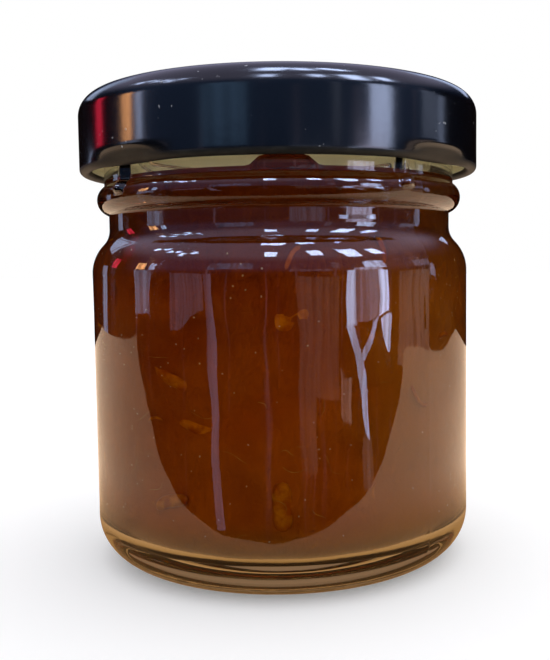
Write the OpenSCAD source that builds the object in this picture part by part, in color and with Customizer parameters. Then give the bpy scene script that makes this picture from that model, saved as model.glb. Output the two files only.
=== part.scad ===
// Small round jar of marmalade with a black twist-off lid, in millimetres.
// The origin is the centre of the base, +Z points up and the front faces -Y.
// The jar stands on the bearing ring of its base, and the lid seats on the glass rim.

/* [Body] */
// Outer diameter of the glass body
body_d = 44; // [36:0.5:56]
// Height of the body up to where the shoulder begins
body_h = 33.2; // [24:0.2:44]
// Thickness of the glass wall
wall = 2.6; // [2:0.1:3.2]
// Thickness of the glass floor at its edge
floor_t = 3.6; // [2.6:0.1:5]
// Outer radius of the heel, between wall and base
heel_r = 5.4; // [3.6:0.1:6.6]
// Inner radius of the heel, where the filling meets the floor
inner_heel_r = 4.2; // [3:0.1:6]
// Width of the ring that the jar stands on
bearing_w = 3; // [2:0.1:5]
// Depth of the hollow inside that ring
push_up = 1.1; // [0.6:0.1:1.6]

/* [Shoulder] */
// Depth of the groove under the bead, inside the glass that the lid screws on
groove_in = 0.45; // [0:0.05:1]
// Convex radius where the body turns in
shoulder_r = 4.6; // [4.2:0.1:7]
// Concave radius where the shoulder runs into the groove
groove_r = 2.4; // [2:0.1:4]
// Height of the straight part of the groove
groove_h = 1.6; // [0.8:0.1:3]
// Convex radius of the same turn inside the jar
inner_shoulder_r = 3.5; // [3.2:0.1:6]
// Concave radius of the same turn inside the jar
inner_groove_r = 4.5; // [3:0.1:6]

/* [Finish] */
// How far the bead that carries the jar in the works stands out from that glass
bead_out = 0.85; // [0.4:0.05:1.2]
// Radius of the rounding of that bead
bead_r = 1.75; // [1.6:0.05:2.2]
// Outer diameter of the glass that the lid screws on
finish_d = 40.8; // [34:0.1:49]
// Height of the rim above the centre of the bead
finish_h = 11.5; // [9.4:0.1:15]
// Thickness of the glass inside the lid
finish_wall = 2.5; // [2:0.1:3]
// Radius that rounds the rim inside and outside
rim_r = 0.9; // [0.5:0.1:1.1]

/* [Thread] */
// Number of thread ridges, and of lugs on the lid
starts = 4; // [3:1:4]
// How far a ridge stands out from the glass
ridge_proud = 0.9; // [0.6:0.05:1]
// Height of a ridge at its root
ridge_t = 1.5; // [1:0.1:1.8]
// Arc of the level seat that a lug locks under, in degrees
seat_arc = 29; // [24:1:34]
// Arc over which the ridge climbs from its seat, in degrees
climb_arc = 34; // [20:1:40]
// Height that the ridge climbs
climb = 2; // [1:0.1:2.4]
// Width of the stop at the closed end, in degrees
stop_arc = 6.5; // [4:0.5:7]

/* [Lid] */
// Thickness of the lid's sheet metal
sheet = 0.25; // [0.2:0.05:0.4]
// Thickness of the rolled hem round the open edge
hem_d = 1.3; // [1.1:0.1:1.6]
// Clearance between the ridges and the hem
hem_gap = 0.5; // [0.3:0.05:0.8]
// Clearance between the bead and the hem above it
bead_gap = 1.05; // [0.6:0.05:1.6]
// Outer radius of the lid's top corner
corner_r = 2.5; // [1.5:0.1:3]
// Depth of the panel below the ring that covers the rim
panel_drop = 0.6; // [0.3:0.1:0.9]
// Width of the slope round the panel
panel_slope = 1; // [0.6:0.1:2]
// Arc of a lug, in degrees
lug_arc = 12; // [8:1:14]
// Clearance between a lug and the glass beside it
lug_gap = 0.35; // [0.2:0.05:0.5]
// Clearance between a lug and the ridge above it
lug_play = 0.1; // [0.05:0.05:0.2]
// Depth that the hem is pressed in at a lug
lug_press = 1; // [0.5:0.1:1.1]
// Angle from the front to the middle of the first lug, in degrees
lug_angle = -42.5; // [-60:0.5:-20]

/* [Marmalade] */
// Free height between the marmalade and the rim
headspace = 9.3; // [4:0.1:10.5]

/* [Hidden] */
$fn = 96;
eps = 0.01;
front = -90;
// How far a cut runs past what it cuts
over = 1;

body_r = body_d / 2;
finish_r = finish_d / 2;
neck_r = finish_r - groove_in;
bead_out_r = finish_r + bead_out;
inner_r = body_r - wall;
bore_r = finish_r - finish_wall;
bearing_r = body_r - heel_r;
push_r = bearing_r - bearing_w;

// Angle and height of a turn made of two arcs that meet on a tangent
function turn_angle(r_low, r_high, r_out, r_in) =
    acos(1 - abs(r_low - r_high) / (r_out + r_in));
function turn_rise(r_low, r_high, r_out, r_in) =
    (r_out + r_in) * sin(turn_angle(r_low, r_high, r_out, r_in));

groove_z = body_h + turn_rise(body_r, neck_r, shoulder_r, groove_r);
bore_z = body_h + turn_rise(inner_r, bore_r, inner_shoulder_r, inner_groove_r);
bead_z = groove_z + groove_h + bead_r;
bead_top = bead_z + bead_r;
rim_z = bead_z + finish_h;
level_z = rim_z - headspace;

ridge_r = finish_r + ridge_proud;
hem_r = hem_d / 2;
lid_r = ridge_r + hem_gap + hem_d;
lid_z = bead_top + bead_gap;
lid_top = rim_z + sheet;
panel_r = bore_r - panel_slope;
lug_r = finish_r + lug_gap;
lug_top = lid_z + hem_d;
press_h = 2 * hem_d;

lug_pitch = 360 / starts;
stop_clear = 0.5;
stop_end = lug_angle - lug_arc / 2 - stop_clear;
ridge_start = stop_end - stop_arc;
ridge_arc = seat_arc + climb_arc;
ridge_z = lug_top + lug_play;
ridge_rings = 24;
taper_arc = 5;
// A ridge's section, as shares of its height, and how low it starts and how deep it is rooted
crest_low = 0.15;
crest_high = 0.7;
least_grown = 0.15;
root = 0.4;
stop_proud = 0.8 * ridge_proud;
// How far a lug runs up past the hem, and up past where the skirt is pressed in
hem_fade = 0.2;
skirt_fade = 0.3;

// Right half of the turn from one radius to a smaller one above it
module turn_in(r_low, r_high, r_out, r_in) {
    angle = turn_angle(r_low, r_high, r_out, r_in);
    rise = turn_rise(r_low, r_high, r_out, r_in);
    z_mid = r_out * sin(angle);
    r_mid = r_low - r_out * (1 - cos(angle));
    translate([0, -eps]) square([r_low - r_out + eps, z_mid + 2 * eps]);
    intersection() {
        translate([r_low - r_out, 0]) circle(r_out);
        translate([0, -eps]) square([r_low, z_mid + eps]);
    }
    difference() {
        translate([0, z_mid - eps]) square([r_mid, rise - z_mid + eps]);
        translate([r_high + r_in, rise]) circle(r_in);
    }
}

// The same turn at a height, turned over where the upper radius is the larger one
module turn(r_low, r_high, z, r_out, r_in) {
    if (r_low >= r_high) {
        translate([0, z]) turn_in(r_low, r_high, r_out, r_in);
    } else {
        translate([0, z + turn_rise(r_low, r_high, r_out, r_in)])
            mirror([0, 1]) turn_in(r_high, r_low, r_in, r_out);
        translate([0, z - eps]) square([r_low, 2 * eps]);
    }
}

// Right half of the outside of the glass, filled to the axis
module outer_outline() {
    difference() {
        union() {
            square([bearing_r + eps, heel_r + eps]);
            intersection() {
                translate([bearing_r, heel_r]) circle(heel_r);
                square([body_r, heel_r + eps]);
            }
            translate([0, heel_r]) square([body_r, body_h - heel_r]);
        }
        hollow_r = (push_r * push_r + push_up * push_up) / (2 * push_up);
        intersection() {
            translate([0, push_up - hollow_r]) circle(hollow_r, $fn = 360);
            translate([0, -over]) square([push_r + over, push_up + 2 * over]);
        }
    }
    turn(body_r, neck_r, body_h, shoulder_r, groove_r);
    translate([0, groove_z - eps]) square([neck_r, bead_z - groove_z + eps]);
    intersection() {
        translate([bead_out_r - bead_r, bead_z]) circle(bead_r);
        translate([0, bead_z - bead_r]) square([bead_out_r, 2 * bead_r]);
    }
    translate([0, bead_z]) square([finish_r, rim_z - rim_r - bead_z]);
    translate([0, rim_z - rim_r - eps]) square([finish_r - rim_r + eps, rim_r + eps]);
    intersection() {
        translate([finish_r - rim_r, rim_z - rim_r]) circle(rim_r);
        translate([0, rim_z - rim_r - eps]) square([finish_r, rim_r + eps]);
    }
}

// Right half of the space inside the glass, up to a given height
module cavity_outline(top) {
    intersection() {
        union() {
            translate([0, floor_t])
                square([inner_r - inner_heel_r + eps, inner_heel_r + eps]);
            intersection() {
                translate([inner_r - inner_heel_r, floor_t + inner_heel_r]) circle(inner_heel_r);
                translate([0, floor_t]) square([inner_r, inner_heel_r + eps]);
            }
            translate([0, floor_t + inner_heel_r])
                square([inner_r, body_h - floor_t - inner_heel_r]);
            turn(inner_r, bore_r, body_h, inner_shoulder_r, inner_groove_r);
            translate([0, bore_z - eps]) square([bore_r, top - bore_z + eps]);
        }
        square([body_r, top]);
    }
}

// Rounded inner edge of the rim, as the ring that is cut away
module rim_round_outline() {
    translate([0, rim_z - rim_r])
        difference() {
            square([bore_r + rim_r, rim_r + over]);
            translate([bore_r + rim_r, 0]) circle(rim_r);
        }
}

// How far a ridge has grown at an arc from its start, from 0 at an end to 1
function ridge_grown(a) = min(1, min(a, ridge_arc - a) / taper_arc);
// Height of a ridge's underside at that arc: level, then an even climb
function ridge_low(a) = ridge_z + climb * max(0, a - seat_arc) / climb_arc;
// One cross-section of a ridge, its root sunk a little into the glass
function ridge_ring(a) =
    let (z = ridge_low(a),
         r = finish_r + ridge_proud * max(least_grown, ridge_grown(a)),
         turn = front + ridge_start + a)
    [for (p = [[finish_r - root, z], [r, z + crest_low * ridge_t],
               [r, z + crest_high * ridge_t], [finish_r - root, z + ridge_t]])
        [p[0] * cos(turn), p[0] * sin(turn), p[1]]];

// One thread ridge: a level seat for the lug and a slope that leads it in
module ridge() {
    rings = [for (i = [0:ridge_rings]) ridge_ring(ridge_arc * i / ridge_rings)];
    points = [for (ring = rings) each ring];
    last = 4 * ridge_rings;
    sides = [for (i = [0:ridge_rings - 1]) for (k = [0:3])
        let (a = 4 * i + k, b = 4 * i + (k + 1) % 4)
        each [[a, a + 4, b], [b, a + 4, b + 4]]];
    ends = [[0, 1, 2], [0, 2, 3], [last, last + 2, last + 1], [last, last + 3, last + 2]];
    polyhedron(points, concat(sides, ends));
}

// Part of a ring with a given outline, between two angles from the front
module sector(from, arc) {
    rotate([0, 0, front + from]) rotate_extrude(angle = arc) children();
}

// Stop at the closed end of a ridge, which the lug turns up against
module stop() {
    sector(ridge_start, stop_arc)
        translate([finish_r - root, bead_z])
            square([root + stop_proud, ridge_z + ridge_t / 2 - bead_z]);
}

module jar() {
    color([0.86, 0.88, 0.84, 0.35]) {
        difference() {
            rotate_extrude() outer_outline();
            rotate_extrude() cavity_outline(rim_z + over);
            rotate_extrude() rim_round_outline();
        }
        for (i = [0:starts - 1]) rotate([0, 0, i * lug_pitch]) {
            ridge();
            stop();
        }
    }
}

module marmalade() {
    color([0.45, 0.17, 0.03]) rotate_extrude() cavity_outline(level_z);
}

// Right half of the lid's outside, or of its inside when drawn in by the sheet
module lid_outline(inset) {
    difference() {
        union() {
            translate([0, lid_z - inset]) square([lid_r - inset, lid_top - corner_r - lid_z + inset]);
            translate([0, lid_z - inset]) square([lid_r - corner_r, lid_top - lid_z]);
            intersection() {
                translate([lid_r - corner_r, lid_top - corner_r]) circle(corner_r - inset);
                translate([0, lid_z]) square([lid_r, lid_top - lid_z]);
            }
        }
        translate([0, lid_top - panel_drop - inset])
            polygon([[-eps, 0], [panel_r, 0],
                     [panel_r + panel_slope, panel_drop], [panel_r + panel_slope, panel_drop + over],
                     [-eps, panel_drop + over]]);
    }
}

// Cross-section of a lug: the hem pressed in under the ridge
module lug_outline() {
    polygon([[lid_r, lid_z + press_h], [lid_r - lug_press, lid_z], [lug_r, lid_z],
             [lug_r, lug_top], [lid_r - hem_d, lug_top + hem_fade],
             [lid_r - sheet, lid_z + press_h + skirt_fade]]);
}

module lid() {
    color([0.05, 0.06, 0.08]) {
        difference() {
            rotate_extrude() {
                difference() {
                    lid_outline(0);
                    lid_outline(sheet);
                }
                translate([lid_r - hem_r, lid_z + hem_r]) circle(hem_r);
            }
            for (i = [0:starts - 1])
                sector(lug_angle - lug_arc / 2 + i * lug_pitch, lug_arc)
                    translate([lug_r - over, lid_z - over]) square([lid_r, press_h + over]);
        }
        for (i = [0:starts - 1])
            sector(lug_angle - lug_arc / 2 + i * lug_pitch, lug_arc) lug_outline();
    }
}

jar();
marmalade();
lid();
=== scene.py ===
# %% [markdown]
# # A small jar of marmalade
#
# The object is a portion jar: pressed clear glass, dark orange marmalade with fine peel, and a black
# twist-off lid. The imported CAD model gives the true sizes, so it is loaded first and never moved.
# Everything that is made here takes its place from the CAD boxes, in metres, with the jar's front
# facing -Y.

# %% Load the frame
import bpy
import numpy as np
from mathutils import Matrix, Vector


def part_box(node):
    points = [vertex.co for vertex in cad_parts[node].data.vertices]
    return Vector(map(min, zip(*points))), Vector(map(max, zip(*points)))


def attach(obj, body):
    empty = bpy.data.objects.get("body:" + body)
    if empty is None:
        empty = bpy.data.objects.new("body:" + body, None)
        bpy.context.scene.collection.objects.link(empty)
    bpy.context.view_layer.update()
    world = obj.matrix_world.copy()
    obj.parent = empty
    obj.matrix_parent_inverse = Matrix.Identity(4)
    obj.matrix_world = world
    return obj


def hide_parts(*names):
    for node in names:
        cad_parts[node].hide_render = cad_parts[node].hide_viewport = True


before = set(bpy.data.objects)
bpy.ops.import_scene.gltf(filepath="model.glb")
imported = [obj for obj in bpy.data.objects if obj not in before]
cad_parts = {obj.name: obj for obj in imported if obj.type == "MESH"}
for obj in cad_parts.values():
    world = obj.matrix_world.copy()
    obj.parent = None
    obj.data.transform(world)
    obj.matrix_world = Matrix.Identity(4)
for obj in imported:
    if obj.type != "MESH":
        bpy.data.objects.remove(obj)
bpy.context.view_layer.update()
MM = 0.001

# %% [markdown]
# ## Measures
#
# The three CAD nodes give the outer sizes of glass, filling and lid. The sizes in between, such as the
# groove and the bead, are the maker's own measures of this jar, given once here in millimetres.

# %% Sizes of glass, filling and lid
glass_high = np.array(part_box("jar")[1])
fill_low, fill_high = (np.array(corner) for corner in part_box("marmalade"))
lid_low, lid_high = (np.array(corner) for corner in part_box("lid"))
BODY_R = glass_high[0]
RIM_Z = glass_high[2]
INNER_R = fill_high[0]
FLOOR_Z = fill_low[2]
LEVEL_Z = fill_high[2]
LID_R = lid_high[0]
LID_Z = lid_low[2]
LID_TOP = lid_high[2]

BODY_H = 33.2 * MM
HEEL_R = 5.4 * MM
INNER_HEEL_R = 4.2 * MM
BEARING_W = 3.0 * MM
PUSH_UP = 1.1 * MM
FINISH_R = 20.4 * MM
FINISH_WALL = 2.5 * MM
GROOVE_IN = 0.45 * MM
GROOVE_H = 1.6 * MM
BEAD_OUT = 0.85 * MM
BEAD_R = 1.75 * MM
SHOULDER_R = 4.6 * MM
GROOVE_R = 2.4 * MM
INNER_SHOULDER_R = 3.5 * MM
INNER_GROOVE_R = 4.5 * MM
RIM_R = 0.9 * MM
NECK_R = FINISH_R - GROOVE_IN
BORE_R = FINISH_R - FINISH_WALL
FRONT = -90.0
STARTS = 4
LUG_ANGLE = -42.5
LUG_ARC = 12.0
print("body radius, rim and level in mm:", np.round(np.array([BODY_R, RIM_Z, LEVEL_Z]) / MM, 2))

# %% [markdown]
# ## Outlines
#
# Glass, jelly and lid are all round, so each starts as an outline: a row of points that give a radius
# and a height. An outline is put together from arcs and straight runs and then spaced evenly, so that
# the mesh is fine where the shape is small and coarse where it is plain.

# %% Arcs, turns and even spacing
def arc(r, z, radius, start, end, count=40):
    """Points on a circle: the centre plus the radius times the cosine and sine of even angles."""
    a = np.radians(np.linspace(start, end, count))
    return np.column_stack([r + radius * np.cos(a), z + radius * np.sin(a)])


def turn(r_low, r_high, z, r_out, r_in):
    """A turn from a radius to a smaller one above it: a convex arc, then a concave arc, which meet
    where both have turned by the angle whose cosine is one less the step over the radii's sum."""
    angle = np.degrees(np.arccos(1 - (r_low - r_high) / (r_out + r_in)))
    rise = (r_out + r_in) * np.sin(np.radians(angle))
    convex = arc(r_low - r_out, z, r_out, 0, angle)
    concave = arc(r_high + r_in, z + rise, r_in, 180 + angle, 180)
    return np.vstack([convex, concave])


def evenly(points, step):
    """The same line with points about one step apart along its length."""
    along = np.concatenate([[0], np.cumsum(np.hypot(*np.diff(points, axis=0).T))])
    s = np.linspace(0, along[-1], max(2, int(np.ceil(along[-1] / step)) + 1))
    return np.column_stack([np.interp(s, along, points[:, 0]), np.interp(s, along, points[:, 1])])


def outline(*runs):
    """Runs of (points, step) spaced one by one and joined, without the doubled joints."""
    spaced = [evenly(np.asarray(points, float), step * MM) for points, step in runs]
    return np.vstack([spaced[0]] + [s[1:] for s in spaced[1:]])


# %% [markdown]
# ## From outline to mesh
#
# A surface is a grid of points. One parameter runs along the outline and the other round the axis, and
# a relief function may push each point out along its radius. Whole arrays are worked out at once, which
# is fast and keeps the formulas readable. Where an outline starts or ends on the axis, its row becomes
# a single point, so the surface closes without a hole.

# %% Grids and meshes
def grid_faces(rows, cols, closed):
    """Four vertex numbers for each cell of a grid, whose last column may join the first."""
    row = np.arange(rows - 1)[:, None] * cols
    col = np.arange(cols if closed else cols - 1)[None, :]
    after = (col + 1) % cols
    cells = [row + col, row + after, row + cols + after, row + cols + col]
    return np.stack(cells, -1).reshape(-1, 4)


def make_mesh(name, places, faces, material, smooth=True):
    """An object at the origin whose mesh has these places and these arrays of faces."""
    mesh = bpy.data.meshes.new(name)
    corners = np.concatenate([f.ravel() for f in faces]).astype(np.int32)
    sizes = np.concatenate([np.full(len(f), f.shape[1]) for f in faces])
    starts = np.concatenate([[0], np.cumsum(sizes)[:-1]]).astype(np.int32)
    mesh.vertices.add(len(places))
    mesh.vertices.foreach_set("co", np.asarray(places, np.float32).ravel())
    mesh.loops.add(len(corners))
    mesh.loops.foreach_set("vertex_index", corners)
    mesh.polygons.add(len(starts))
    mesh.polygons.foreach_set("loop_start", starts)
    mesh.update(calc_edges=True)
    mesh.validate()
    mesh.polygons.foreach_set("use_smooth", np.full(len(mesh.polygons), smooth))
    mesh.materials.append(material)
    piece = bpy.data.objects.new(name, mesh)
    bpy.context.scene.collection.objects.link(piece)
    triangles = int((sizes - 2).sum())
    print(f"{name}: {len(places)} points, {triangles} triangles")
    return piece


def lathe(name, points, angles, material, relief=None, lift=None):
    """An outline turned about the axis: x and y are its radius times the cosine and sine of each
    angle. Relief is added to the radius and lift to the height. Ends on the axis become one point
    with a fan of triangles."""
    r = points[:, :1] + 0 * angles
    z = points[:, 1:] + 0 * angles
    a = np.radians(angles) + 0 * z
    if relief is not None:
        r = r + relief(r, z, np.degrees(a))
    if lift is not None:
        z = z + lift(r, z, np.degrees(a))
    places = np.stack([r * np.cos(a), r * np.sin(a), z], -1)
    rows, cols = len(points), len(angles)
    faces = []
    inner = places[1:-1].reshape(-1, 3)
    ends = np.array([[0, 0, points[0, 1]], [0, 0, points[-1, 1]]])
    faces.append(grid_faces(rows - 2, cols, True))
    col = np.arange(cols)
    after = (col + 1) % cols
    low = np.full(cols, len(inner))
    last = (rows - 3) * cols
    faces.append(np.column_stack([low, after, col]))
    faces.append(np.column_stack([last + col, last + after, low + 1]))
    return make_mesh(name, np.vstack([inner, ends]), faces, material)


# %% [markdown]
# ## A way to write finishes
#
# A finish is a small sum of patterns, so it is easiest to read as one. `Wire` stands for a value in the
# node tree, and Python's own signs on it add Math nodes. Every other node comes from `Finish.add`.

# %% Wires and finishes
class Wire:
    """A value in a finish. The signs + - * / ** add Math nodes, on either side of it."""

    def __init__(self, finish, socket):
        self.finish = finish
        self.socket = socket

    def maths(self, operation, first, second):
        return self.finish.add("ShaderNodeMath", {"operation": operation}, {0: first, 1: second})

    def __add__(self, other):
        return self.maths("ADD", self, other)

    def __radd__(self, other):
        return self.maths("ADD", other, self)

    def __sub__(self, other):
        return self.maths("SUBTRACT", self, other)

    def __rsub__(self, other):
        return self.maths("SUBTRACT", other, self)

    def __mul__(self, other):
        return self.maths("MULTIPLY", self, other)

    def __rmul__(self, other):
        return self.maths("MULTIPLY", other, self)

    def __pow__(self, other):
        return self.maths("POWER", self, other)

    def pick(self, output):
        """Another output of the node that this value comes from."""
        return Wire(self.finish, self.socket.node.outputs[output])

    def between(self, low, high):
        """0 up to low, 1 from high on, and a smooth rise between them."""
        settings = {"interpolation_type": "SMOOTHSTEP"}
        return self.finish.add("ShaderNodeMapRange", settings, {0: self, 1: low, 2: high})


class Finish:
    """A material, or a world, built node by node. Patterns read the object's own coordinates."""

    def __init__(self, name, world=None):
        self.material = world or bpy.data.materials.new(name)
        self.material.use_nodes = True
        self.tree = self.material.node_tree
        self.tree.nodes.clear()
        kind = "ShaderNodeOutputWorld" if world else "ShaderNodeOutputMaterial"
        self.end = self.tree.nodes.new(kind)

    def add(self, kind, settings=None, sockets=None):
        """A node with its settings made first, then its sockets set or linked."""
        node = self.tree.nodes.new(kind)
        for name, value in (settings or {}).items():
            setattr(node, name, value)
        for name, value in (sockets or {}).items():
            if isinstance(value, Wire):
                self.tree.links.new(value.socket, node.inputs[name])
            else:
                node.inputs[name].default_value = value
        return Wire(self, next(o for o in node.outputs if o.enabled))

    def place(self, scale=(1, 1, 1)):
        """The object's own coordinates, stretched by a scale along each axis."""
        own = self.add("ShaderNodeTexCoord").pick("Object")
        return self.add("ShaderNodeMapping", {}, {"Vector": own, "Scale": scale})

    def noise(self, where, size, detail=3.0, rough=0.5):
        """Cloudy noise from 0 to 1 whose lumps are about this size in metres."""
        sockets = {"Vector": where, "Scale": 1 / size, "Detail": detail, "Roughness": rough}
        return self.add("ShaderNodeTexNoise", {"noise_dimensions": "3D"}, sockets)

    def blend(self, share, first, second):
        """The first colour where the share is 0 and the second where it is 1."""
        return self.add("ShaderNodeMix", {"data_type": "RGBA"}, {0: share, 6: first, 7: second})

    def bump(self, height, distance, strength=1.0):
        """A normal that tilts as if the surface rose by height times the distance."""
        return self.add("ShaderNodeBump", {},
                        {"Height": height, "Distance": distance, "Strength": strength})

    def axes(self, where):
        """The x, y and z of a place or a direction, as three values."""
        split = self.add("ShaderNodeSeparateXYZ", {}, {0: where})
        return [split.pick(axis) for axis in "XYZ"]

    def ray(self, kind):
        """1 for a ray that was diffused, or transmitted, on its way here, and 0 for any other. Only the
        studio asks for it, never the object."""
        return self.add("ShaderNodeLightPath").pick(f"{kind} Depth").between(0.0, 1.0)

    def mix(self, share, first, second):
        """The first shader where the share is 0 and the second where it is 1."""
        return self.add("ShaderNodeMixShader", {}, {0: share, 1: first, 2: second})

    def surface(self, shader):
        """Puts a shader on the surface and gives the material back."""
        self.tree.links.new(shader.socket, self.end.inputs["Surface"])
        return self.material

    def glow(self, sockets):
        """Light given off, by a world or by a card."""
        world = self.end.bl_idname == "ShaderNodeOutputWorld"
        kind = "ShaderNodeBackground" if world else "ShaderNodeEmission"
        return self.surface(self.add(kind, {}, sockets))

    def shade(self, sockets):
        """A Principled shader with these sockets, as the surface."""
        return self.surface(self.add("ShaderNodeBsdfPrincipled", {}, sockets))


def colour(r, g, b):
    """Red, green and blue as light, from 0 to 1, with nothing clear about them."""
    return (r, g, b, 1.0)


# %% [markdown]
# ## Clear glass
#
# Pressed soda-lime glass has a refractive index of about 1.52 and is very slightly warm. It is never
# perfectly clean, so faint smears make its surface a little rougher in places.

# %% Glass finish
def glass_finish(name, tint):
    """Clear glass with smears in its roughness and faint ripples. The tint sets how much it mirrors."""
    f = Finish(name)
    smears = f.noise(f.place((1, 1, 0.5)), 9 * MM, 4.0).between(0.45, 0.75)
    ripples = f.noise(f.place((1, 1, 0.4)), 2.4 * MM, 2.0)
    return f.shade({"Base Color": colour(0.985, 0.99, 0.975), "Roughness": 0.01 + 0.03 * smears,
                    "Normal": f.bump(ripples, 0.016 * MM, 0.6), "IOR": 1.52,
                    "Transmission Weight": 1.0, "Specular Tint": tint})


# %% [markdown]
# ## The jar
#
# The real jar is blown into a mould: the outside is true, with a seam where the mould's halves meet,
# and the inside is less even. The outline runs from the middle of the base out, up the wall, over the
# rim and down inside to the floor, so one turn makes the whole glass with its thickness. The thread
# ridges, their stops, the seam and the unevenness are relief on that turn.

# %% Outline of the glass
def base_outline():
    """The underside: a shallow dome, whose radius is (w^2 + h^2) / 2h for half width w and rise h, a
    flat ring that the jar stands on, and the round heel."""
    bearing_r = BODY_R - HEEL_R
    push_r = bearing_r - BEARING_W
    hollow_r = (push_r**2 + PUSH_UP**2) / (2 * PUSH_UP)
    r = np.linspace(0, push_r, 40)
    hollow = np.column_stack([r, PUSH_UP - hollow_r + np.sqrt(hollow_r**2 - r**2)])
    return np.vstack([hollow, [[bearing_r, 0]]]), arc(bearing_r, HEEL_R, HEEL_R, -90, 0)


OUTER_TURN = turn(BODY_R, NECK_R, BODY_H, SHOULDER_R, GROOVE_R)
GROOVE_Z = OUTER_TURN[-1, 1]
BEAD_Z = GROOVE_Z + GROOVE_H + BEAD_R
BEAD_C = FINISH_R + BEAD_OUT - BEAD_R
BEAD_LOW = -np.degrees(np.arccos((NECK_R - BEAD_C) / BEAD_R))
BEAD_HIGH = np.degrees(np.arccos((FINISH_R - BEAD_C) / BEAD_R))
INNER_TURN = turn(INNER_R, BORE_R, BODY_H, INNER_SHOULDER_R, INNER_GROOVE_R)


def glass_outline():
    """The whole section of the glass, from the middle of the base round to the middle of the floor."""
    hollow, heel = base_outline()
    wall = [[BODY_R, HEEL_R], [BODY_R, BODY_H]]
    bead = arc(BEAD_C, BEAD_Z, BEAD_R, BEAD_LOW, BEAD_HIGH)
    groove = [[NECK_R, GROOVE_Z], bead[0]]
    thread = [bead[-1], [FINISH_R, RIM_Z - RIM_R]]
    rim = np.vstack([arc(FINISH_R - RIM_R, RIM_Z - RIM_R, RIM_R, 0, 90),
                     arc(BORE_R + RIM_R, RIM_Z - RIM_R, RIM_R, 90, 180)])
    bore = [rim[-1], INNER_TURN[-1]]
    inside = [[INNER_R, BODY_H], [INNER_R, FLOOR_Z + INNER_HEEL_R]]
    corner = arc(INNER_R - INNER_HEEL_R, FLOOR_Z + INNER_HEEL_R, INNER_HEEL_R, 0, -90)
    floor = [corner[-1], [0, FLOOR_Z]]
    return outline((hollow, 1.2), (heel, 0.35), (wall, 0.6), (OUTER_TURN, 0.3), (groove, 0.3),
                   (bead, 0.22), (thread, 0.2), (rim, 0.2), (bore, 0.7), (INNER_TURN[::-1], 0.5),
                   (inside, 0.9), (corner, 0.45), (floor, 1.2))


# %% Relief of the glass
def smooth(x):
    """0 below 0, 1 above 1 and 3x^2 - 2x^3 between."""
    x = np.clip(x, 0, 1)
    return x * x * (3 - 2 * x)


def turned(angle):
    """An angle in degrees as one from -180 to 180."""
    return (angle + 180) % 360 - 180


RIDGE_PROUD = 0.9 * MM
RIDGE_T = 1.5 * MM
RIDGE_Z = LID_Z + 1.4 * MM
SEAT_ARC = 29.0
CLIMB_ARC = 34.0
CLIMB = 2.0 * MM
STOP_ARC = 6.5
STOP_SIDE = 2.6
STOP_SHARE = 0.8
STOP_END = LUG_ANGLE - LUG_ARC / 2 - 0.5
LOW_FLANK = 0.35 * MM
FLANK = 0.5 * MM
SEAM_ANGLE = 44.0
SEAM_W = 0.5
SEAM_PROUD = 0.02 * MM
WAVES = 0.025 * MM
INNER_WAVES = 0.22 * MM


def threads(z, angle):
    """Each ridge is level over its seat and then climbs evenly. Its height is the product of a rise
    and a fall across it and along it. A stop stands below the start of each ridge."""
    pitch = 360 / STARTS
    a = (angle - FRONT - STOP_END + STOP_ARC) % pitch
    low = RIDGE_Z + CLIMB * np.clip(a - SEAT_ARC, 0, None) / CLIMB_ARC
    across = smooth((z - low) / LOW_FLANK) * smooth((low + RIDGE_T - z) / FLANK)
    along = smooth(a / 3) * smooth((SEAT_ARC + CLIMB_ARC - a) / 6)
    stop_across = smooth(a / STOP_SIDE) * smooth((STOP_ARC - a) / STOP_SIDE)
    stop_up = smooth((z - BEAD_Z) / FLANK) * smooth((RIDGE_Z + FLANK - z) / FLANK)
    return RIDGE_PROUD * np.maximum(across * along, STOP_SHARE * stop_across * stop_up)


def uneven(angle, z, seed, amount, length):
    """A sum of eight waves round and up the glass, with seeded directions and phases."""
    draw = np.random.default_rng(seed)
    around = draw.integers(2, int(2 * np.pi * BODY_R / length), 8)
    upward = draw.uniform(-1, 1, 8) * 2 * np.pi / length
    phase = draw.uniform(0, 2 * np.pi, 8)
    a = np.radians(angle)[..., None]
    return amount * np.sin(around * a + upward * z[..., None] + phase).mean(-1)


def glass_relief(r, z, angle):
    """Outside: threads, the seam and gentle waves. Inside: stronger waves, none where the lid seats."""
    rising = np.diff(z, axis=0, prepend=z[:1]) > -1e-9
    outside = rising & (r > NECK_R - MM)
    thread_zone = outside & (z > BEAD_Z) & (z < RIM_Z - RIM_R)
    seam = np.exp(-((turned(angle - FRONT - SEAM_ANGLE) / SEAM_W) ** 2))
    seam = seam + np.exp(-((turned(angle - FRONT - SEAM_ANGLE - 180) / SEAM_W) ** 2))
    seam_zone = smooth((z - 2 * MM) / (2 * MM)) * smooth((RIM_Z - 1.5 * MM - z) / MM)
    waves = uneven(angle, z, 7, WAVES, 6 * MM)
    inner_waves = uneven(angle, z, 8, INNER_WAVES, 16 * MM)
    inner_zone = smooth((z - FLOOR_Z - 2 * MM) / (3 * MM)) * smooth((BODY_H + MM - z) / (4 * MM))
    out = np.where(thread_zone, threads(z, angle), 0)
    body_zone = smooth((z - 3 * MM) / (4 * MM)) * smooth((GROOVE_Z - z) / (3 * MM))
    out = out + np.where(outside, seam * seam_zone * SEAM_PROUD - (waves + WAVES) * body_zone, 0)
    inside = ~rising & (z > FLOOR_Z + MM) & (r > BORE_R - 0.5 * MM)
    return out + np.where(inside, inner_waves * inner_zone, 0)


# %% Wetted faces
WET_REACH = 0.6 * MM


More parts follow.
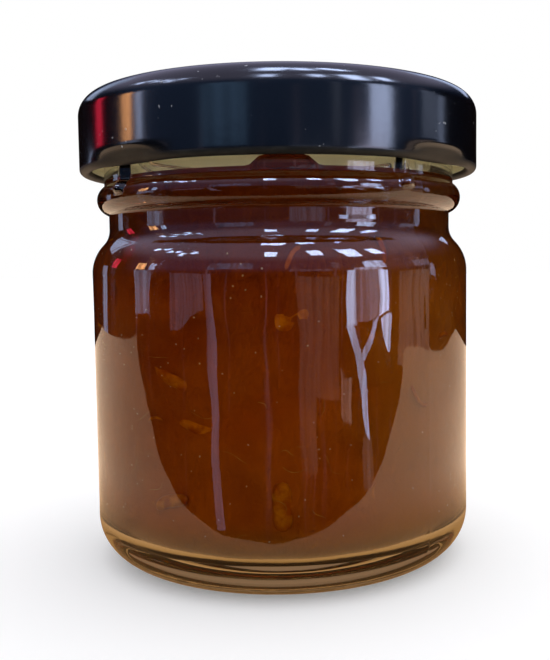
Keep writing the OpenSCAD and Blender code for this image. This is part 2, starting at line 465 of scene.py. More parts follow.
def wetted(piece, material):
    """Gives the faces of the inner wall below the level their own finish, as the filling wets them."""
    mesh = piece.data
    middle = np.empty(len(mesh.polygons) * 3, np.float32)
    mesh.polygons.foreach_get("center", middle)
    x, y, z = middle.reshape(-1, 3).T
    r = np.hypot(x, y)
    inner = np.where(z > BODY_H, np.interp(z, INNER_TURN[:, 1], INNER_TURN[:, 0]), INNER_R)
    wet = (r < inner + WET_REACH) & (z < LEVEL_Z) & (z > FLOOR_Z - WET_REACH)
    mesh.materials.append(material)
    mesh.polygons.foreach_set("material_index", wet.astype(np.int32))
    print("wetted faces:", int(wet.sum()))


# %% Turn the glass
def jar_angles(count, marks, spread=(-0.7, -0.35, -0.15, 0, 0.15, 0.35, 0.7)):
    """Even angles, with extra ones beside each mark where something narrow stands."""
    even = np.arange(count) * 360 / count
    extra = (np.array(marks)[:, None] + np.array(spread)[None, :]).ravel() % 360
    return np.unique(np.round(np.concatenate([even, extra]), 4))


glass = glass_finish("clear_glass", colour(1, 1, 1))
wet_glass = glass_finish("wet_glass", colour(0, 0, 0))
seams = [FRONT + SEAM_ANGLE, FRONT + SEAM_ANGLE + 180]
stop_sides = [FRONT + STOP_END - side + 360 / STARTS * i
              for i in range(STARTS) for side in (0, STOP_ARC)]
jar_glass = lathe("jar_glass", glass_outline(), jar_angles(270, seams + stop_sides), glass,
                  glass_relief)
wetted(jar_glass, wet_glass)
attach(jar_glass, "root")
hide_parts("jar")

# %% [markdown]
# ## Jelly
#
# The clear part of marmalade is a set jelly, index about 1.42, that takes the blue and much of the
# green out of light on its way. Where a filling touches glass there is no air, so the jelly's surface
# reaches just into the wall. Its colour is plain absorption, which deepens with the path.

# %% Jelly finish and shape
def jelly_finish():
    """A clear jelly that mirrors nothing where it wets the glass, filled with a plain absorption."""
    f = Finish("marmalade_jelly")
    material = f.shade({"Base Color": colour(1.0, 1.0, 1.0), "Roughness": 0.0, "IOR": 1.42,
                        "Transmission Weight": 1.0, "Specular Tint": colour(0, 0, 0)})
    absorb = f.add("ShaderNodeVolumeAbsorption", {},
                   {"Color": colour(0.90, 0.67, 0.02), "Density": 310.0})
    f.tree.links.new(absorb.socket, f.end.inputs["Volume"])
    return material


OVERLAP = 0.15 * MM
MENISCUS = 0.5 * MM


def filling_outline(into_wall, into_floor, top):
    """The inside of the glass, moved out by a little and closed at a level with a raised edge."""
    corner = arc(INNER_R - INNER_HEEL_R, 0, INNER_HEEL_R + into_wall, -90, 0)
    rise = (INNER_HEEL_R + into_floor) / (INNER_HEEL_R + into_wall)
    corner = corner * [1, rise] + [0, FLOOR_Z + INNER_HEEL_R]
    wall = [[INNER_R + into_wall, FLOOR_Z + INNER_HEEL_R], [INNER_R + into_wall, BODY_H]]
    bend = turn(INNER_R, BORE_R, BODY_H, INNER_SHOULDER_R, INNER_GROOVE_R) + [into_wall, 0]
    edge = BORE_R + into_wall
    bore = [bend[-1], [edge, top]]
    r = np.linspace(edge, 0, 60)
    surface = np.column_stack([r, top - MENISCUS * (1 - np.exp(-(edge - r) / (1.2 * MM)))])
    floor = [[0, FLOOR_Z - into_floor], corner[0]]
    return outline((floor, 1.5), (corner, 0.6), (wall, 1.0), (bend, 0.6), (bore, 0.8),
                   (surface, 0.8))


RUN_FROM, RUN_TO = -10.0, 13.0
RUN_H = 1.05 * MM


def run_up(r, z, angle):
    """Where filling has run up the glass its edge stands higher: a rise and a fall round the jar, times
    a rise towards the glass and towards the level."""
    off = turned(angle - FRONT)
    along = smooth((off - RUN_FROM) / 5) * smooth((RUN_TO - off) / 5)
    edge = smooth((r - BORE_R + 2 * MM) / (2 * MM)) * smooth((z - LEVEL_Z + 2 * MM) / (1.8 * MM))
    return RUN_H * along * edge


jelly = lathe("marmalade_jelly", filling_outline(OVERLAP, OVERLAP, LEVEL_Z), jar_angles(240, []),
              jelly_finish(), lift=run_up)
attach(jelly, "root")
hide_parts("marmalade")

# %% [markdown]
# ## Pulp
#
# Behind a few millimetres of clear jelly the filling is cloudy with pulp and peel. It could be a
# scattering volume, which is slow and grainy and can't be carried to other programs. A lumpy body with
# a mottled finish just inside the jelly gives the same depth: where a lump comes near the glass, less
# jelly covers it and it shows brighter and more yellow.

# %% Pulp finish
CLOUD = 11 * MM
SHRED = 2.2 * MM
PULP_DARK = colour(0.27, 0.040, 0.001)
PULP_BRIGHT = colour(0.62, 0.150, 0.003)
# Painted light: brighter tones for the foot and the side towards +X. Painted shade: a dark tone for the
# narrow top.
PULP_FOOT_LIGHT = colour(0.50, 0.17, 0.01)
PULP_SIDE_LIGHT = colour(0.66, 0.27, 0.02)
PULP_NECK_SHADE = colour(0.10, 0.016, 0.001)


def pulp_finish():
    """A share of bright to dark from clouds, height and fine shreds, toned again at the foot, at the
    side towards +X and in the narrow top of the jar. Clouds and shreds are the pulp's own mottling;
    the brighter low part, foot and side towards +X are painted light, and the dark top is painted shade."""
    f = Finish("marmalade_pulp")
    where = f.place()
    clouds = f.noise(where, CLOUD, 2.0)
    shreds = f.noise(f.place((1, 1, 0.8)), SHRED, 4.0, 0.55)
    x, _, height = f.axes(where)
    # Painted light: the pulp grows brighter towards the bottom.
    painted_low_light = 1 - height.between(8 * MM, 34 * MM)
    share = clouds.between(0.3, 0.7) * 0.42 + painted_low_light * 0.40 + shreds.between(0.35, 0.8) * 0.2
    # Painted light: a brighter tone at the foot.
    foot = 1 - height.between(FLOOR_Z + 0.5 * MM, FLOOR_Z + 5 * MM)
    # Painted light: a brighter tone on the side towards +X.
    side = x.between(3 * MM, 13 * MM) * 0.55
    # Painted shade: a dark tone in the narrow top of the jar.
    painted_neck_shade = height.between(29 * MM, 37 * MM) * 0.7
    body = f.blend(share, PULP_DARK, PULP_BRIGHT)
    for part, tone in ((foot, PULP_FOOT_LIGHT), (side, PULP_SIDE_LIGHT), (painted_neck_shade, PULP_NECK_SHADE)):
        body = f.blend(part, body, tone)
    return f.shade({"Base Color": body, "Roughness": 0.6, "Normal": f.bump(shreds, 0.6 * MM, 0.8),
                    "Specular IOR Level": 0.1})


# %% Pulp shape
def lumps(places, seed, size, count=24):
    """Soft noise from -1 to 1: the mean of plane waves with seeded directions and phases."""
    draw = np.random.default_rng(seed)
    way = draw.normal(size=(count, 3))
    way /= np.linalg.norm(way, axis=1, keepdims=True)
    way *= (2 * np.pi / size) * draw.uniform(0.6, 1.4, (count, 1))
    phase = draw.uniform(0, 2 * np.pi, count)
    return np.sin(places @ way.T + phase).mean(-1) * 2.2


PULP_IN = 2.2 * MM
PULP_UP = 0.25 * MM
PULP_DOWN = 1.2 * MM


def pulp_relief(r, z, angle):
    """Lumps of two sizes, fading out at the axis so that the ends stay closed."""
    a = np.radians(angle)
    places = np.stack([r * np.cos(a), r * np.sin(a), z], -1)
    big = lumps(places, 3, 9 * MM) * 0.9 * MM
    small = lumps(places, 4, 3 * MM) * 0.35 * MM
    foot = 1 - smooth((z - FLOOR_Z) / (5 * MM))
    return ((big + small) * (1 - 0.8 * foot) + 1.2 * MM * foot) * smooth(r / (8 * MM))


pulp = lathe("marmalade_pulp", filling_outline(-PULP_IN, -PULP_UP, LEVEL_Z - PULP_DOWN),
             jar_angles(220, []), pulp_finish(), pulp_relief)
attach(pulp, "root")

# %% [markdown]
# ## Peel, fibres and specks
#
# Marmalade holds shreds of peel, loose fibres and tiny bits of pith. Each kind is one joined mesh of
# many small tubes. All tubes of a kind are worked out at once: a bent middle line is laid on the jar's
# round inside as if it were unrolled, an oval ring is set at each of its points, and each end closes
# in a point. The pale specks right behind the glass are bits of pith, and also painted glints that
# stand for tiny bubbles.

# %% Many small tubes
def tubes(name, places, material):
    """One mesh of many tubes from places by tube, ring and side. Neighbours are joined by four-sided
    faces. The first and the last ring become one point each, their middle, with a fan that closes
    the tube."""
    count, rings, sides = places.shape[0], places.shape[1] - 2, places.shape[2]
    body = places[:, 1:-1].reshape(count, -1, 3)
    ends = places[:, [0, -1]].mean(2)
    block = np.concatenate([body, ends], 1)
    cell = grid_faces(rings, sides, True)[:, ::-1]
    k = np.arange(sides)
    after = (k + 1) % sides
    first, last = rings * sides, (rings - 1) * sides
    caps = np.concatenate([np.column_stack([0 * k + first, k, after]),
                           np.column_stack([0 * k + first + 1, last + after, last + k])])
    shift = np.arange(count)[:, None, None] * block.shape[1]
    faces = [(cell + shift).reshape(-1, 4), (caps + shift).reshape(-1, 3)]
    return make_mesh(name, block.reshape(-1, 3), faces, material)


def strands(name, count, seed, length, half_width, half_thick, depth, bend, rings, sides, material,
            placed=()):
    """Tubes along bent lines, the first of them where `placed` says: the angle from the front, height,
    heading, length, half width and depth. On the unrolled wall a line is a start plus its length times
    t along a heading plus its bend times t squared across it, and t runs from -1/2 to 1/2. Rings are
    ellipses that shrink to the ends by the root of one less the fourth power of 2t."""
    draw = np.random.default_rng(seed)

    def pick(low_high):
        return draw.uniform(*low_high, (count, 1)) * MM

    long, wide, thick = pick(length), pick(half_width), pick(half_thick)
    deep = INNER_R - pick(depth)
    low, high = FLOOR_Z + 2.5 * MM, BODY_H + 2 * MM
    around, height = draw.uniform(-180, 180, (count, 1)), draw.uniform(low, high, (count, 1))
    heading = draw.normal(0, 0.7, (count, 1)) + draw.integers(0, 2, (count, 1)) * np.pi
    curl, wave = draw.uniform(-bend, bend, (count, 1)), draw.uniform(-0.5, 0.5, (count, 1))
    for i, (angle, up, way, size, half, inside) in enumerate(placed):
        around[i], height[i], heading[i] = FRONT + angle, up * MM, np.radians(way)
        long[i], wide[i], deep[i] = size * MM, half * MM, INNER_R - inside * MM
    t = np.linspace(-0.5, 0.5, rings + 2)[None, :]
    across = curl * t**2 + 0.25 * wave * np.sin(2 * np.pi * t)
    s = long * (t * np.cos(heading) - across * np.sin(heading))
    z = np.clip(height + long * (t * np.sin(heading) + across * np.cos(heading)), low, high)
    r = deep - np.abs(wave) * long * 0.12 * (1 + np.cos(np.pi * t * 2 + wave * 6))
    slope_s, slope_z = np.gradient(s, axis=1), np.gradient(z, axis=1)
    norm = np.hypot(slope_s, slope_z) + 1e-9
    shrink = np.sqrt(np.clip(1 - (2 * t) ** 4, 0, 1))
    turn_round = np.linspace(0, 2 * np.pi, sides, endpoint=False)[None, None, :]
    side = (wide * shrink)[..., None] * np.cos(turn_round)
    out = (thick * shrink)[..., None] * np.sin(turn_round)
    ring_s = s[..., None] - side * (slope_z / norm)[..., None]
    ring_z = z[..., None] + side * (slope_s / norm)[..., None]
    ring_r = np.minimum(r[..., None] + out, INNER_R - OVERLAP)
    a = np.radians(around)[..., None] + ring_s / deep[..., None]
    places = np.stack([ring_r * np.cos(a), ring_r * np.sin(a), ring_z], -1)
    piece = tubes(name, places, material)
    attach(piece, "root")
    return piece


# %% Peel finish
def peel_finish(name, deep_tone, pale_tone, rough):
    """Translucent rind: mottled between two tones, with a waxy, softly uneven surface."""
    f = Finish(name)
    where = f.place()
    mottle = f.noise(where, 1.3 * MM, 4.0, 0.6)
    pores = f.noise(where, 0.5 * MM, 2.0)
    base = f.blend(mottle.between(0.3, 0.7), deep_tone, pale_tone)
    return f.shade({"Base Color": base, "Roughness": rough + 0.1 * pores, "Specular IOR Level": 0.04,
                    "Normal": f.bump(pores, 0.1 * MM, 0.6)})


# %% Shreds, fibres and specks
rind = peel_finish("peel_rind", colour(0.46, 0.085, 0.001), colour(0.74, 0.24, 0.003), 0.35)
# Pale tones for bits of pith, and for the painted glints of tiny bubbles.
fleck = peel_finish("pith_and_glint_fleck", colour(0.70, 0.50, 0.22), colour(0.95, 0.80, 0.50), 0.4)
pith = peel_finish("peel_pith", colour(0.40, 0.14, 0.01), colour(0.68, 0.32, 0.06), 0.5)
PLACED = [(-0.5, 9.6, 88, 5.2, 1.0, 1.7), (4.4, 29.0, 12, 4.4, 1.3, 2.3),
          (29.0, 25.2, 75, 4.4, 1.1, 2.2)]
strands("peel_shreds", 22, 11, length=(3, 9), half_width=(0.5, 0.9), half_thick=(0.3, 0.5),
        depth=(1.9, 3.2), bend=0.6, rings=22, sides=12, material=rind, placed=PLACED)
strands("peel_slivers", 46, 12, length=(1.5, 4), half_width=(0.12, 0.3), half_thick=(0.08, 0.18),
        depth=(1.6, 3.2), bend=0.9, rings=14, sides=8, material=rind)
strands("peel_fibres", 70, 13, length=(0.8, 2.8), half_width=(0.02, 0.04), half_thick=(0.02, 0.04),
        depth=(0.5, 2.0), bend=1.2, rings=12, sides=6, material=pith)
# Specks of pith, and painted glints of tiny bubbles.
strands("pith_and_glint_specks", 300, 14, length=(0.09, 0.22), half_width=(0.035, 0.07),
        half_thick=(0.03, 0.06), depth=(0.17, 1.2), bend=0.0, rings=4, sides=6, material=fleck)

# %% [markdown]
# ## Lid
#
# The lid is drawn from thin tinplate and lacquered black. Its top has a ring over the glass rim and a
# slightly lower panel, its skirt is plain, and its edge is rolled into a hem. At four places the hem is
# pressed in to make the lugs that grip the thread, which shows outside as a soft dent.

# %% Lid finish
def lacquer_finish():
    """Gloss black, dulled where rolling and handling have rubbed the hem and the pressed lugs. The
    radius, the root of x squared plus y squared, tells where the skirt is pressed in."""
    f = Finish("black_lacquer")
    where = f.place()
    peel = f.noise(where, 1.1 * MM, 2.0)
    wear = f.noise(where, 6 * MM, 5.0, 0.6)
    dust = f.noise(where, 0.55 * MM, 1.0).between(0.745, 0.785) * wear.between(0.45, 0.6)
    base = f.blend(dust, colour(0.0015, 0.0022, 0.0040), colour(0.24, 0.25, 0.27))
    gloss = f.add("ShaderNodeBsdfPrincipled", {}, {
        "Base Color": base, "Roughness": 0.11 + 0.07 * wear + 0.3 * dust, "IOR": 1.5,
        "Normal": f.bump(peel, 0.010 * MM, 0.5)})
    scuffs = f.noise(f.place((1, 1, 3)), 1.6 * MM, 5.0, 0.7)
    rubbed = f.blend(scuffs.between(0.4, 0.8), colour(0.006, 0.006, 0.005), colour(0.016, 0.015, 0.012))
    dull = f.add("ShaderNodeBsdfPrincipled", {}, {
        "Base Color": rubbed, "Roughness": 0.42 + 0.2 * scuffs, "IOR": 1.5, "Specular IOR Level": 0.16,
        "Normal": f.bump(scuffs, 0.02 * MM, 0.4)})
    x, y, z = f.axes(where)
    dent = 1 - ((x * x + y * y) ** 0.5).between(LID_R - 0.32 * MM, LID_R - 0.04 * MM)
    low = 1 - z.between(LID_Z + 1.3 * MM, LID_Z + 2.0 * MM)
    hem = 1 - z.between(LID_Z + 0.5 * MM, LID_Z + 0.8 * MM)
    return f.surface(f.mix(1 - (1 - dent * low) * (1 - hem), gloss, dull))


def gold_finish():
    """The clear gold lacquer of the inside, which keeps food off the bare metal."""
    f = Finish("gold_lacquer")
    mottle = f.noise(f.place(), 3 * MM, 3.0)
    return f.shade({"Base Color": f.blend(mottle, colour(0.90, 0.80, 0.50), colour(0.95, 0.88, 0.62)),
                    "Roughness": 0.38, "Specular IOR Level": 0.5})


# %% Lid shape
SHEET = 0.25 * MM
HEM_D = 1.3 * MM
CORNER_R = 2.5 * MM
PANEL_DROP = 0.6 * MM
PANEL_SLOPE = 1.0 * MM
PANEL_R = BORE_R - PANEL_SLOPE
PANEL_EASE = 0.3 * MM
PRESS = 1.0 * MM
PRESS_H = 1.9 * MM


def lid_outline():
    """The sheet's section from the inside of the panel, down and round the curled hem, and back over
    the top. The panel's edge rises by 3x^2 - 2x^3 of the way across it."""
    hem = HEM_D / 2
    panel = [[0, LID_TOP - PANEL_DROP], [PANEL_R - PANEL_EASE, LID_TOP - PANEL_DROP]]
    r = np.linspace(-PANEL_EASE, PANEL_SLOPE + PANEL_EASE, 24)
    share = smooth((r + PANEL_EASE) / (PANEL_SLOPE + 2 * PANEL_EASE))
    slope = np.column_stack([PANEL_R + r, LID_TOP - PANEL_DROP * (1 - share)])
    ring = [slope[-1], [LID_R - CORNER_R, LID_TOP]]
    corner = arc(LID_R - CORNER_R, LID_TOP - CORNER_R, CORNER_R, 90, 0)
    skirt = [corner[-1], [LID_R, LID_Z + hem]]
    curl = arc(LID_R - hem, LID_Z + hem, hem, 0, -250)
    inner_skirt = [curl[-1], [LID_R - SHEET, LID_Z + 2 * hem + 0.1 * MM],
                   [LID_R - SHEET, LID_TOP - CORNER_R]]
    inner_corner = arc(LID_R - CORNER_R, LID_TOP - CORNER_R, CORNER_R - SHEET, 0, 90)
    inner_ring = [inner_corner[-1], slope[-1] - [0, SHEET]]
    inner_panel = [slope[0] - [0, SHEET], [0, LID_TOP - PANEL_DROP - SHEET]]
    top_down = outline((panel, 1.5), (slope, 0.12), (ring, 0.4), (corner, 0.15), (skirt, 0.25),
                       (curl, 0.09), (inner_skirt, 0.4), (inner_corner, 0.3), (inner_ring, 0.6),
                       (slope[::-1] - [0, SHEET], 0.2), (inner_panel, 1.5))
    return top_down[::-1]


def lid_relief(r, z, angle):
    """The hem is pressed in at each lug: a smooth window round each lug times a smooth fall from the
    skirt down to the open edge."""
    pitch = 360 / STARTS
    off = (angle - FRONT - LUG_ANGLE + pitch / 2) % pitch - pitch / 2
    window = smooth((LUG_ARC * 1.5 - np.abs(off)) / (LUG_ARC * 1.4))
    fall = smooth((LID_Z + PRESS_H - z) / PRESS_H)
    rim_zone = r > LID_R - 2 * HEM_D
    return np.where(rim_zone, -PRESS * window * fall, 0)


def golden(piece, material):
    """Gives the faces inside the lid, which look to its axis or down from its top, their own finish."""
    mesh = piece.data
    middle, way = (np.empty(len(mesh.polygons) * 3, np.float32) for _ in range(2))
    mesh.polygons.foreach_get("center", middle)
    mesh.polygons.foreach_get("normal", way)
    x, y, z = middle.reshape(-1, 3).T
    way_x, way_y, way_z = way.reshape(-1, 3).T
    inward = (way_x * x + way_y * y < 0) & (z > LID_Z + HEM_D / 2)
    under = (way_z < -0.3) & (z > LID_Z + 3 * HEM_D)
    mesh.materials.append(material)
    mesh.polygons.foreach_set("material_index", (inward | under).astype(np.int32))
    print("faces inside the lid:", int((inward | under).sum()))


lid = lathe("lid_shell", lid_outline(), jar_angles(420, []), lacquer_finish(), lid_relief)
golden(lid, gold_finish())
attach(lid, "root")
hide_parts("lid")

# %% [markdown]
# ## Studio
#
# A pale floor and a soft pale world light the jar through the glass. Gloss needs something to mirror: a
# warm table top that ends just in front of the jar, windows, shelves and a curtain beside and behind the
# camera, and a row of ceiling lamps. They are cards that only mirrored and refracted rays see, so they
# can be bright without washing out the jelly.

# %% World
def studio_finish(world):
    """The camera sees white and soft rays see an even light that grows towards +X. Rays that come
    through glass see a warm dimness. Mirrored rays see a dark room: dusk that grows with height, tall
    streaks for shelves in front of the jar, and a pale ceiling."""
    sky = Finish("studio", world)
    ahead = sky.add("ShaderNodeTexCoord").pick("Generated")
    x, y, up = sky.axes(ahead)
    tall = sky.add("ShaderNodeMapping", {}, {"Vector": ahead, "Scale": (1.0, 1.0, 0.12)})
    columns = sky.noise(tall, 0.11, 3.0, 0.75).between(0.56, 0.70)
    front = 1 - y.between(-0.1, 0.3)
    dusk = up.between(-0.02, 0.22) * front + up.between(0.25, 0.7) * (1 - front) * 0.6
    walls = sky.blend(dusk, colour(0.006, 0.003, 0.002), colour(0.11, 0.19, 0.40))
    streaks = columns * up.between(-0.36, 0.0) * front * 0.8
    shelves = sky.blend(streaks, walls, colour(0.85, 0.70, 0.95))
    room = sky.blend(up.between(0.40, 0.70), shelves, colour(0.75, 0.72, 1.05))
    room = sky.blend(sky.ray("Transmission"), room, colour(0.21, 0.125, 0.066))
    softly = sky.blend(x * 0.5 + 0.5, colour(0.90, 0.90, 0.90), colour(1.60, 1.60, 1.55))
    hidden = sky.blend(sky.ray("Diffuse"), room, softly)
    seen = sky.add("ShaderNodeLightPath").pick("Is Camera Ray")
    return sky.glow({"Color": sky.blend(seen, hidden, colour(1.0, 1.0, 1.0)), "Strength": 1.0})


scene = bpy.context.scene
scene.world = bpy.data.worlds.new("studio")
studio_finish(scene.world)
scene.view_settings.view_transform = "Standard"
scene.cycles.max_bounces = 24
scene.cycles.transmission_bounces = 20
scene.cycles.transparent_max_bounces = 16


# %% Floor
def floor_finish():
    """A pale dull floor that glows a little, as if a wide lamp filled its shadows."""
    return Finish("floor").shade({
        "Base Color": colour(0.86, 0.86, 0.86), "Roughness": 1.0, "Specular IOR Level": 0.0,
        "Emission Color": colour(1.0, 1.0, 1.0), "Emission Strength": 0.18})


def card(name, corners, material):
    """A flat sheet with four corners, counted round it."""
    sheet = make_mesh(name, np.array(corners, float), [np.array([[0, 1, 2, 3]])], material, False)
    return sheet


FLOOR = 3.0
floor = card("floor", [[-FLOOR, -FLOOR, 0], [FLOOR, -FLOOR, 0], [FLOOR, FLOOR, 0], [-FLOOR, FLOOR, 0]],
             floor_finish())
floor.visible_glossy = False
floor.visible_transmission = False


# %% Cards for the gloss
CAMERA_H = 33.8 * MM
BARS = 0.035


def glow_finish(name, shade, strength):
    """A glow in upright bars that soft rays don't see, so that it throws no light of its own."""
    f = Finish(name)
    bars = f.noise(f.place((1, 1, 0.12)), BARS, 2.0, 0.6).between(0.36, 0.60)
    return f.glow({"Color": shade,
                   "Strength": strength * (1 - f.ray("Diffuse")) * (0.45 + 0.55 * bars)})


def mirror_only(sheet):
    """Keeps a card out of the rays from the camera, of soft light and of shadows."""
    sheet.visible_camera = False
    sheet.visible_diffuse = False
    sheet.visible_shadow = False
    sheet.visible_volume_scatter = False
    return sheet


def upright(name, azimuth, width, low, high, shade, strength, lean=0.0, taper=1.0):
    """A card that stands at an azimuth from the front, a metre away, between two slopes as seen from
    the height of the camera. Its foot may lean sideways by an angle and be narrower by a share."""
    top, foot = np.radians([azimuth, azimuth + lean])

    def edge(a, half, slope):
        middle = np.array([np.sin(a), -np.cos(a)]) + np.array([np.cos(a), np.sin(a)]) * half
        return [*middle, slope + CAMERA_H]

    half = width / 2
    corners = [edge(foot, -half * taper, low), edge(foot, half * taper, low), edge(top, half, high),
               edge(top, -half, high)]
    return mirror_only(card(name, corners, glow_finish(name, shade, strength)))


def soft_box(sheet):
    """Keeps a card out of what is seen through glass as well, so that only gloss mirrors it."""
    sheet.visible_transmission = False
    return sheet


# %% Table
TABLE_EDGE = -44 * MM
TABLE_UP = 0.02 * MM
TABLE_TURN = 7.5
TABLE_LEFT = -360 * MM
TABLE_RIGHT = 260 * MM
TABLE_DEPTH = 300 * MM
TABLE_UNDER = colour(0.34, 0.17, 0.06)
TABLE_NEAR = colour(0.80, 0.50, 0.28)
TABLE_AHEAD_LEFT = colour(1.25, 0.84, 0.54)
TABLE_AHEAD_RIGHT = colour(1.85, 1.32, 0.90)
TABLE_BEHIND = colour(1.22, 0.87, 0.60)
BELOW_UNDER = colour(0.30, 0.15, 0.04)
BELOW_NEAR = colour(0.74, 0.43, 0.22)


def table_finish():
    """A warm glow that dims near the jar and to almost nothing under it, as the jar's own shadow
    darkens a real table. It is brighter to the right, and dimmer as seen through the glass."""
    f = Finish("table")
    where = f.place()
    away = f.add("ShaderNodeVectorMath", {"operation": "LENGTH"}, {0: where}).pick("Value")
    x, y, _ = f.axes(where)
    near = f.blend(away.between(24 * MM, 42 * MM), TABLE_UNDER, TABLE_NEAR)
    ahead = f.blend(x.between(-120 * MM, 120 * MM), TABLE_AHEAD_LEFT, TABLE_AHEAD_RIGHT)
    far = f.blend(y.between(-20 * MM, 120 * MM), ahead, TABLE_BEHIND)
    top = f.blend(away.between(30 * MM, 66 * MM), near, far)
    below = f.blend(away.between(12 * MM, 26 * MM), BELOW_UNDER, BELOW_NEAR)
    return f.glow({"Color": f.blend(f.ray("Transmission"), top, below),
                   "Strength": 1 - f.ray("Diffuse")})


def table_corners():
    """A rectangle a hair above the floor, turned a little, whose edge runs just before the jar."""
    a = np.radians(TABLE_TURN)
    along, back = np.array([np.cos(a), -np.sin(a), 0]), np.array([np.sin(a), np.cos(a), 0])
    left, right = ([0, TABLE_EDGE, TABLE_UP] + end * along for end in (TABLE_LEFT, TABLE_RIGHT))
    return [left, right, right + TABLE_DEPTH * back, left + TABLE_DEPTH * back]


mirror_only(card("table", table_corners(), table_finish()))

# %% Windows, shelves and curtain
WINDOW = colour(0.57, 0.68, 1.0)
LAVENDER = colour(0.72, 0.66, 1.0)
WARM = colour(1.0, 0.45, 0.18)
ROSE = colour(1.0, 0.74, 0.62)
PALE = colour(0.74, 0.72, 1.0)
upright("post_left", 40.5, 0.11, -0.070, 0.06, WINDOW, 12.0, lean=0.5)
upright("post_right", 60.0, 0.11, -0.066, 0.06, WINDOW, 17.0, lean=0.5)
upright("post_corner", 62.0, 0.13, -0.100, -0.069, WINDOW, 12.0, lean=3.0, taper=0.15)
upright("post_slant", 56.0, 0.05, -0.115, -0.066, WINDOW, 7.0, lean=-10.0)
upright("post_tail", 40.0, 0.085, -0.160, -0.070, WINDOW, 9.0, lean=8.5, taper=0.8)
upright("post_foot", 48.5, 0.065, -0.215, -0.160, WINDOW, 10.0, lean=2.0, taper=0.5)
upright("post_haze", 50.0, 0.10, -0.265, -0.210, ROSE, 1.0)
upright("window_pane", 50.5, 0.24, -0.064, 0.06, PALE, 2.4)
upright("window_upper", 51.5, 0.32, 0.06, 0.14, PALE, 7.0)
upright("window_high", 57.0, 0.24, 0.14, 0.40, WINDOW, 13.0)
upright("window_high_left", 31.0, 0.08, 0.14, 0.40, WINDOW, 1.2)
upright("window_side", 90.0, 0.20, 0.14, 0.32, WINDOW, 1.7)
upright("window_far", 100.0, 0.10, -0.02, 0.22, WINDOW, 2.5)
upright("shelves_right", 21.0, 0.42, -0.16, 0.0, ROSE, 0.6)
upright("shelves_right_mid", 15.0, 0.20, -0.245, -0.09, ROSE, 0.5, taper=0.6)
upright("shelves_right_low", 37.0, 0.11, -0.19, -0.13, ROSE, 1.8)
upright("shelves_side", 82.0, 0.38, -0.12, 0.03, ROSE, 0.95)
upright("wall_ahead", 17.0, 0.40, 0.05, 0.12, WINDOW, 1.0)
upright("curtain_left", -41.5, 0.085, -0.31, 0.03, LAVENDER, 1.35, lean=4.0)
upright("shelves_left", -55.5, 0.40, -0.065, 0.03, PALE, 0.8)
upright("window_left", -29.0, 0.44, 0.145, 0.40, colour(0.32, 0.58, 1.0), 1.7)
upright("doorway_left", -87.0, 0.24, -0.06, 0.11, WINDOW, 2.4)
upright("strip_left", -128.0, 0.12, -0.09, 0.13, WINDOW, 1.5)
upright("lamp_left_white", -80.5, 0.07, 0.13, 0.32, WINDOW, 11.0)
upright("lamp_left", -89.5, 0.12, 0.13, 0.32, WARM, 15.0)
upright("cloth_left", -116.0, 0.12, 0.13, 0.34, colour(1.0, 0.03, 0.08), 5.0)
soft_box(upright("back_left", -140, 0.30, 0.35, 0.9, WINDOW, 2.0))
soft_box(upright("back_right", 150, 0.24, 0.35, 0.9, WINDOW, 2.5))


# %% Ceiling lamps
LAMP_SIZE = 0.11
LAMP_TALL = 1.8
LAMP_AWAY = 2.0
LAMP_GLOW = 34.0


def lamp(name, azimuth, elevation, share):
    """A small card overhead, turned to face the jar: LAMP_SIZE times a share wide at a distance of one,
    and LAMP_TALL times as tall."""
    a, e = np.radians([azimuth, elevation])
    way = np.array([np.sin(a) * np.cos(e), -np.cos(a) * np.cos(e), np.sin(e)])
    side = np.array([np.cos(a), np.sin(a), 0])
    rise = np.cross(way, side)
    half = LAMP_SIZE * share * LAMP_AWAY / 2
    corners = [way * LAMP_AWAY + half * (i * side + LAMP_TALL * j * rise)
               for i, j in ((-1, -1), (1, -1), (1, 1), (-1, 1))]
    return mirror_only(card(name, corners, glow_finish(name, WINDOW, LAMP_GLOW)))


LAMPS = [(-7, 46, 1.0), (25, 46, 1.0), (49, 43, 1.6), (70, 42, 1.0), (-64, 45, 0.35),
         (-70, 40, 0.5), (-77, 44, 0.35), (-84, 42, 0.4), (-92, 45, 0.35), (-99, 41, 0.4),
         (-10, 78, 1.4), (35, 76, 1.0), (75, 72, 1.0)]
for number, (azimuth, elevation, share) in enumerate(LAMPS):
    lamp(f"ceiling_{number}", azimuth, elevation, share)

# %% [markdown]
# ## Light under the lid
#
# A real jar leads daylight up its glass into the empty space under the lid. Two crossed cards stand in
# for that light. Only soft rays see their glow, and every other ray goes straight through them.

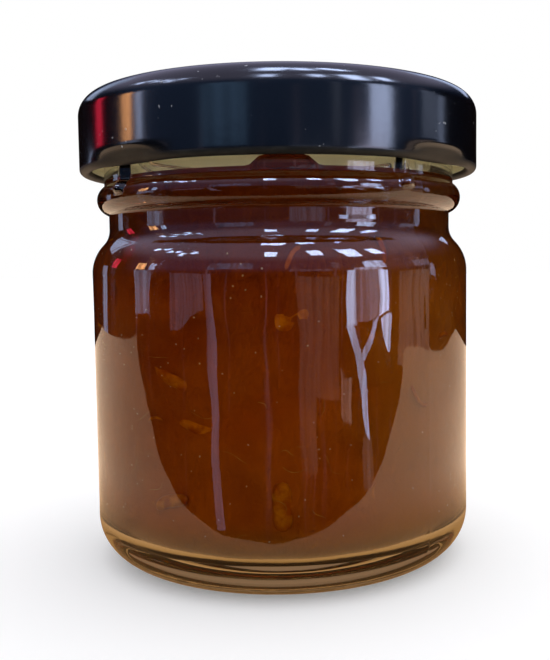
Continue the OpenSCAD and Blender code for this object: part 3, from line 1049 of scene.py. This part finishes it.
# %% Headspace light
def headspace_finish():
    """A warm glow for soft rays, mixed with a clear sheet for all others."""
    f = Finish("headspace_light")
    glow = f.add("ShaderNodeEmission", {}, {"Color": colour(1.0, 0.92, 0.76), "Strength": 1.6})
    clear = f.add("ShaderNodeBsdfTransparent")
    return f.surface(f.mix(f.ray("Diffuse"), clear, glow))


def crossed(name, x, y):
    """An upright card through the axis from just over the level to just under the lid's panel."""
    low, high = LEVEL_Z + 1.6 * MM, LID_TOP - 2.5 * MM
    sheet = card(name, [[-x, -y, low], [x, y, low], [x, y, high], [-x, -y, high]], headspace_finish())
    sheet.visible_shadow = False
    return sheet


REACH = BORE_R - 1.5 * MM
crossed("headspace_light_across", REACH, 0)
crossed("headspace_light_along", 0, REACH)

# %% [markdown]
# ## Camera
#
# The camera stands close, a hand's width from the jar and level with its upper half, and looks slightly
# down. A small roll and shift keep the view from being stiff, as with a camera held in the hand.

# %% Camera
CAMERA_D = 106.7 * MM
PITCH = 4.15
YAW = 1.53
ROLL = 0.72
SENSOR = 36.0
LENS = 48.273
SHIFT = -0.04545


def camera_axes():
    """Right, up and back of a camera that looks along +Y, turned by yaw, then pitch, then roll."""
    pitch, yaw, roll = np.radians([PITCH, YAW, ROLL])
    ahead = np.array([np.sin(yaw) * np.cos(pitch), np.cos(yaw) * np.cos(pitch), -np.sin(pitch)])
    right = np.array([np.cos(yaw), -np.sin(yaw), 0])
    up = np.cross(right, ahead)
    rolled = right * np.cos(roll) - up * np.sin(roll)
    return np.column_stack([rolled, np.cross(rolled, ahead), -ahead])


camera = bpy.data.objects.new("camera", bpy.data.cameras.new("camera"))
scene.collection.objects.link(camera)
turn_to = np.eye(4)
turn_to[:3, :3] = camera_axes()
turn_to[:3, 3] = [0, -CAMERA_D, CAMERA_H]
camera.matrix_world = turn_to.T
camera.data.sensor_width = SENSOR
camera.data.lens = LENS
camera.data.shift_x = SHIFT
camera.data.clip_start = 0.005
scene.camera = camera
print("lens in mm:", round(camera.data.lens, 2))
